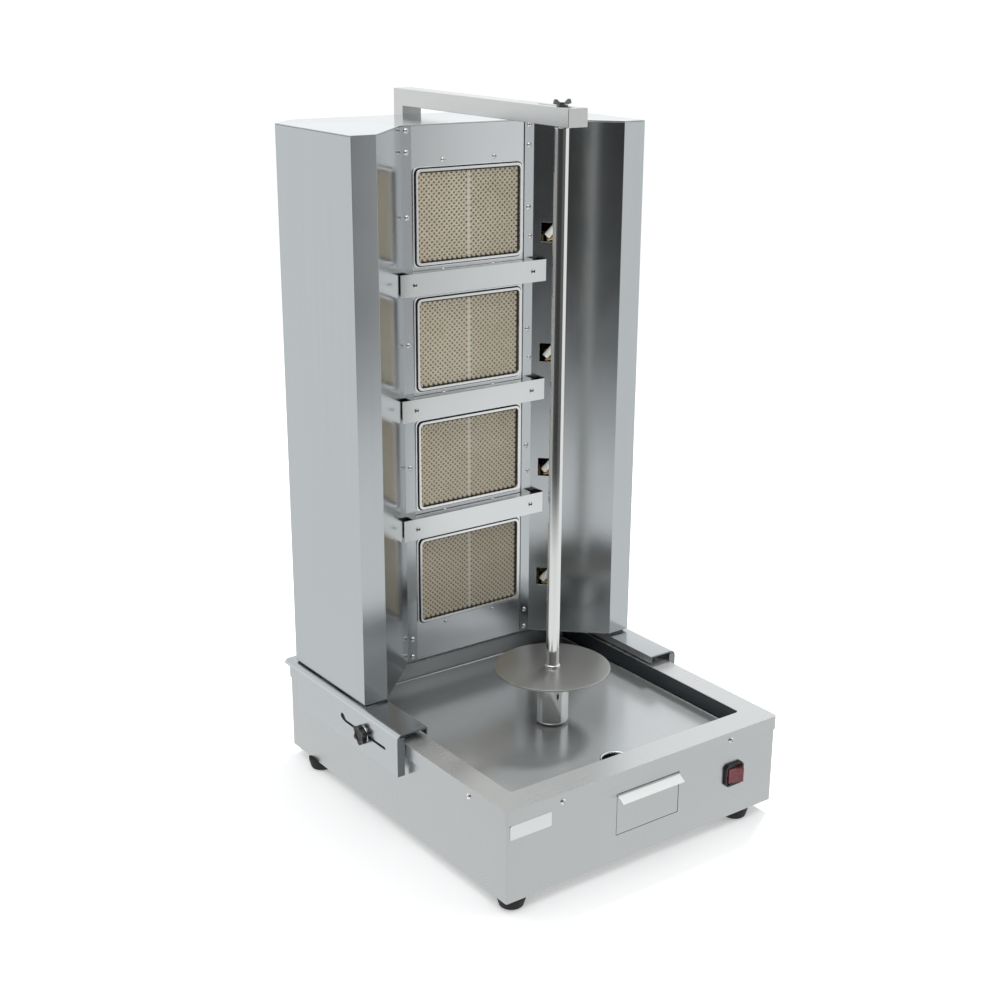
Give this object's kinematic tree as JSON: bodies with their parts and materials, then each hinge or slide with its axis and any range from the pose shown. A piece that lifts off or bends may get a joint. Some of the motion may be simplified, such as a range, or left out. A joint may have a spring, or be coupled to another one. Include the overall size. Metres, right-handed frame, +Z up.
{
  "type": "vertical rotisserie broiler",
  "caption": "Free-standing gas vertical broiler for gyro meat: a turning spit in front of a winged steel tower of radiant burners, on a base with drip pan and grease drawer",
  "frame": {"origin": "on the floor under the middle of the bounding box", "axes": "X across the machine, symmetric about x = 0 but for the switch, windows and gas train; -Y is the operator's side with the spit and drawer, +Y the back; +Z up along the spit"},
  "size_m": [0.5514, 0.6556, 1.0521],
  "materials": {
    "casing_steel": "satin brushed stainless sheet",
    "bright_steel": "bright semi-gloss stainless sheet",
    "polished_steel": "polished stainless bar",
    "dull_steel": "dull unpolished stainless steel",
    "cast_grey": "grey painted motor and gear housing",
    "black_rubber": "matt black rubber",
    "black_plastic": "satin black moulded plastic",
    "red_plastic": "glossy dark red translucent rocker",
    "burner_ceramic": "matt tan perforated ceramic plaque",
    "brass": "machined brass"
  },
  "bodies": {
    "base": {"foot_front_left": "black_rubber", "foot_front_right": "black_rubber", "foot_back_left": "black_rubber", "foot_back_right": "black_rubber", "base_shell": "casing_steel", "base_deck": "casing_steel", "drip_pan": "bright_steel", "base_bottom": "dull_steel", "drawer_guide": "dull_steel", "motor_bracket": "dull_steel", "gearbox": "cast_grey", "drive_motor": "cast_grey", "drive_bush": "brass", "switch_bezel": "black_plastic", "cable_gland": "black_plastic"},
    "rocker": {"switch_rocker": "red_plastic"},
    "drawer": {"grease_drawer_box": "bright_steel", "grease_drawer_front": "bright_steel"},
    "clamp_left": {"clamp_knob_left": "black_plastic"},
    "clamp_right": {"clamp_knob_right": "black_plastic"},
    "tower": {"wing_left": "casing_steel", "wing_right": "casing_steel", "tower_top_cover": "casing_steel", "tower_back_panel": "casing_steel", "tower_base_plate": "dull_steel", "burner_panel": "bright_steel", "burner_body_1": "dull_steel", "burner_body_2": "dull_steel", "burner_body_3": "dull_steel", "burner_body_4": "dull_steel", "burner_plaque_1": "burner_ceramic", "burner_plaque_2": "burner_ceramic", "burner_plaque_3": "burner_ceramic", "burner_plaque_4": "burner_ceramic", "burner_frame_1": "bright_steel", "burner_frame_2": "bright_steel", "burner_frame_3": "bright_steel", "burner_frame_4": "bright_steel", "bridge_strip_1": "bright_steel", "bridge_strip_2": "bright_steel", "bridge_strip_3": "bright_steel", "gas_manifold": "brass", "gas_valve_1": "brass", "gas_valve_2": "brass", "gas_valve_3": "brass", "gas_valve_4": "brass", "bracket_left": "casing_steel", "bracket_right": "casing_steel", "arm_socket": "casing_steel"},
    "knob_1": {"gas_knob_1": "black_plastic"},
    "knob_2": {"gas_knob_2": "black_plastic"},
    "knob_3": {"gas_knob_3": "black_plastic"},
    "knob_4": {"gas_knob_4": "black_plastic"},
    "arm": {"spit_arm": "bright_steel"},
    "bearing": {"spit_top_bearing": "brass"},
    "screw": {"wing_screw": "dull_steel"},
    "spit": {"drive_spigot": "polished_steel", "spit_hub": "polished_steel", "spit_disc": "dull_steel", "spit_shaft": "polished_steel"}
  },
  "joints": [
    {"name": "rocker_tilt", "type": "hinge", "parent": "base", "child": "rocker", "pos_m": [0.166, -0.3143, 0.088], "axis": [0, 0, 1], "range_deg": [0, 16]},
    {"name": "drawer_slide", "type": "slide", "parent": "base", "child": "drawer", "axis": [0, -1, 0], "range_m": [0, 0.15]},
    {"name": "clamp_turn_left", "type": "hinge", "parent": "base", "child": "clamp_left", "pos_m": [-0.266, 0.0245, 0.142], "axis": [-1, 0, 0], "range_deg": [0, 360]},
    {"name": "clamp_turn_right", "type": "hinge", "parent": "base", "child": "clamp_right", "pos_m": [0.266, 0.0245, 0.142], "axis": [1, 0, 0], "range_deg": [0, 360]},
    {"name": "tower_slide", "type": "slide", "parent": "base", "child": "tower", "axis": [0, 1, 0], "range_m": [-0.04, 0.018]},
    {"name": "gas_knob_turn_1", "type": "hinge", "parent": "tower", "child": "knob_1", "pos_m": [0.152, 0.285, 0.275], "axis": [0, 1, 0], "range_deg": [0, 90]},
    {"name": "gas_knob_turn_2", "type": "hinge", "parent": "tower", "child": "knob_2", "pos_m": [0.152, 0.285, 0.4625], "axis": [0, 1, 0], "range_deg": [0, 90]},
    {"name": "gas_knob_turn_3", "type": "hinge", "parent": "tower", "child": "knob_3", "pos_m": [0.152, 0.285, 0.65], "axis": [0, 1, 0], "range_deg": [0, 90]},
    {"name": "gas_knob_turn_4", "type": "hinge", "parent": "tower", "child": "knob_4", "pos_m": [0.152, 0.285, 0.8375], "axis": [0, 1, 0], "range_deg": [0, 90]},
    {"name": "arm_lift", "type": "slide", "parent": "tower", "child": "arm", "axis": [0, 0, 1], "range_m": [0, 0.1]},
    {"name": "bearing_slide", "type": "slide", "parent": "arm", "child": "bearing", "axis": [0, 1, 0], "range_m": [-0.018, 0.04]},
    {"name": "wing_screw_turn", "type": "hinge", "parent": "bearing", "child": "screw", "pos_m": [0, -0.086, 1.043], "axis": [0, 0, 1], "range_deg": [0, 360]},
    {"name": "spit_turn", "type": "hinge", "parent": "base", "child": "spit", "pos_m": [0, -0.086, 0.2], "axis": [0, 0, 1], "continuous": true}
  ],
  "couplings": [
    {"joint": "bearing_slide", "follows": "tower_slide", "ratio": -1}
  ]
}
